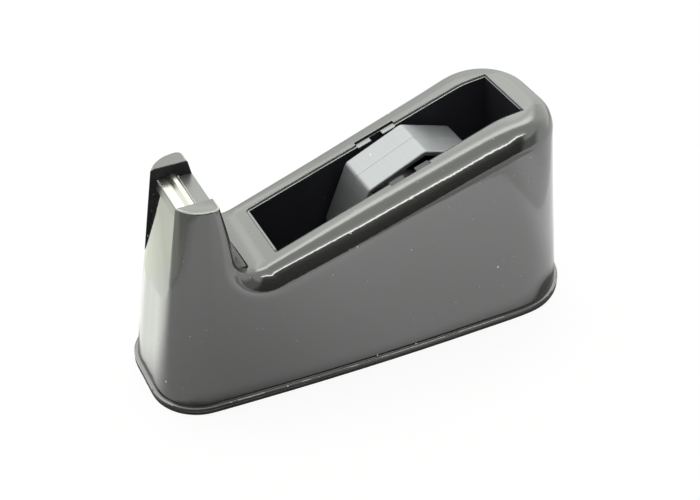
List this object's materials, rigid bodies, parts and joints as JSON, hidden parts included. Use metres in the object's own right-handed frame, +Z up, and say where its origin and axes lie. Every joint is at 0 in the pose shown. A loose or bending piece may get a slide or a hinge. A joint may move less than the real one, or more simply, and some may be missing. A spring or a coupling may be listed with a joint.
{
  "type": "tape dispenser",
  "caption": "Weighted desk tape dispenser with a tall cutter tower, a sloped glossy shell, an open roll well and an eight-sided roll hub that lifts out on its axle.",
  "frame": {"origin": "middle of the footprint, on the surface that the dispenser stands on", "axes": "+X from the cutter tower towards the rear, +Y across the width towards the side away from the picture's camera, +Z up"},
  "size_m": [0.2042, 0.072, 0.101],
  "materials": {
    "shell": "glossy",
    "liner": "satin",
    "plate": "satin",
    "pad": "matte",
    "screws": "plated",
    "weights": "as cast",
    "blade": "bright",
    "key": "satin",
    "hub": "satin",
    "core": "satin",
    "bush": "satin",
    "axle": "turned",
    "shoe": "satin",
    "felt": "felt"
  },
  "bodies": {
    "body": {"body_shell": "shell", "well_liner": "liner", "base_plate": "plate", "base_pad": "pad", "base_screws": "screws", "liner_screws": "screws", "ballast_screws": "screws", "ballast_front": "weights", "ballast_rear": "weights", "cutter_blade": "blade", "blade_key": "key"},
    "axle_set": {"axle": "axle", "axle_shoe_near": "shoe", "axle_shoe_far": "shoe", "drag_washers": "felt"},
    "hub": {"hub_ring_near": "hub", "hub_ring_far": "hub", "core_tube": "core", "spool_bush_near": "bush", "spool_bush_far": "bush"}
  },
  "joints": [
    {"name": "axle_lift", "type": "slide", "parent": "body", "child": "axle_set", "axis": [-0.3242, 0, 0.946], "range_m": [0, 0.078]},
    {"name": "hub_spin", "type": "hinge", "parent": "axle_set", "child": "hub", "pos_m": [0.0287, 0, 0.0518], "axis": [0, 1, 0], "continuous": true}
  ]
}
